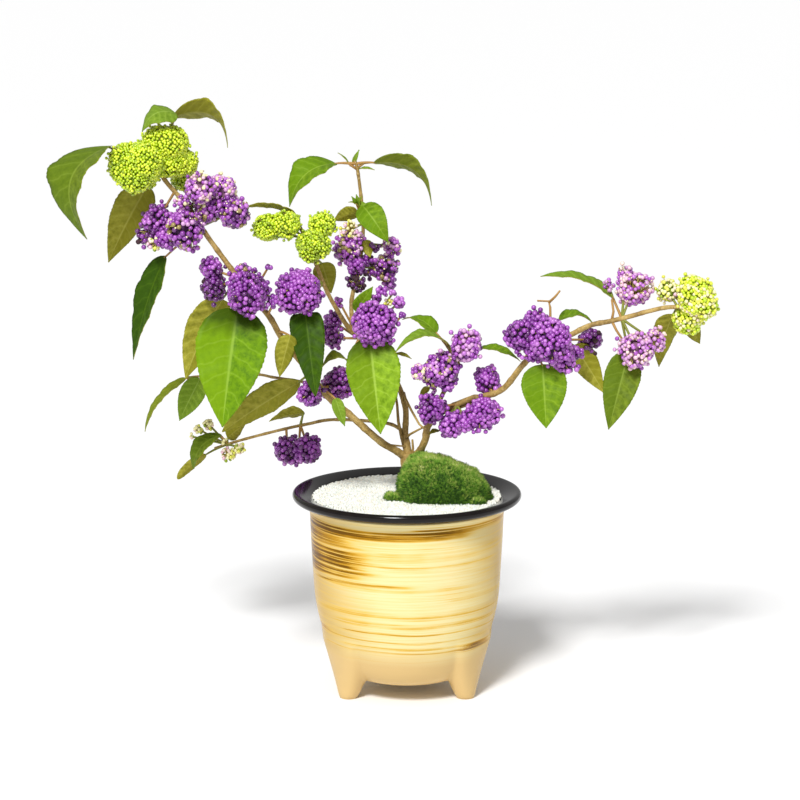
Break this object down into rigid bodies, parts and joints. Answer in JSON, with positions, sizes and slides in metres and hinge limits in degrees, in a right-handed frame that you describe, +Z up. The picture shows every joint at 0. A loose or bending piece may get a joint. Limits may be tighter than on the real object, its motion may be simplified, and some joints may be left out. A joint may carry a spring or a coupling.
{
  "type": "beautyberry bonsai in a pot",
  "caption": "Slender beautyberry bonsai with long leaning stems, drooping leaves and round clusters of purple fruit, in a footed glazed pot.",
  "frame": {"origin": "centre of the object's box, on the surface that its three feet stand on", "axes": "+Z up, +X along the tree's spread to the right as seen from the front, +Y from front to back"},
  "size_m": [0.4238, 0.1527, 0.3897],
  "materials": {
    "cream_glaze": "glossy cream glaze over stoneware, brushed with ochre streaks, black glaze on the rim",
    "soil": "moist granular bonsai soil",
    "white_gravel": "fine white gravel",
    "moss": "living moss, soft and matt",
    "bark": "thin tan bark with raised pores, swollen at the nodes",
    "fruit_and_leaves": "glossy purple fruit on green twigs, with green leaves",
    "leaves": "green leaf blades, soft and half matt"
  },
  "bodies": {
    "root": {"pot": "cream_glaze", "soil": "soil", "gravel": "white_gravel", "moss": "moss", "trunk": "bark", "left_bough_1": "bark", "left_bough_2": "bark", "left_bough_3": "bark", "middle_bough": "bark", "middle_left_bough": "bark", "middle_right_bough": "bark", "top_bough": "bark", "right_bough_1": "bark", "right_bough_2": "bark", "right_bough_3": "bark", "right_bough_4": "bark", "centre_bough": "bark", "low_bough_1": "bark", "low_bough_2": "bark", "behind_bough": "bark", "left_tip_mass": "fruit_and_leaves", "left_upper_mass": "fruit_and_leaves", "left_middle_mass": "fruit_and_leaves", "left_lower_mass": "fruit_and_leaves", "middle_mass": "fruit_and_leaves", "middle_left_mass": "fruit_and_leaves", "middle_left_top_mass": "fruit_and_leaves", "middle_right_mass": "fruit_and_leaves", "top_mass": "leaves", "centre_mass": "fruit_and_leaves", "right_inner_mass": "fruit_and_leaves", "right_middle_mass": "fruit_and_leaves", "right_outer_mass": "fruit_and_leaves", "right_tip_mass": "fruit_and_leaves", "low_middle_mass": "fruit_and_leaves", "low_tip_mass": "fruit_and_leaves", "behind_tip_mass": "leaves"}
  },
  "joints": []
}
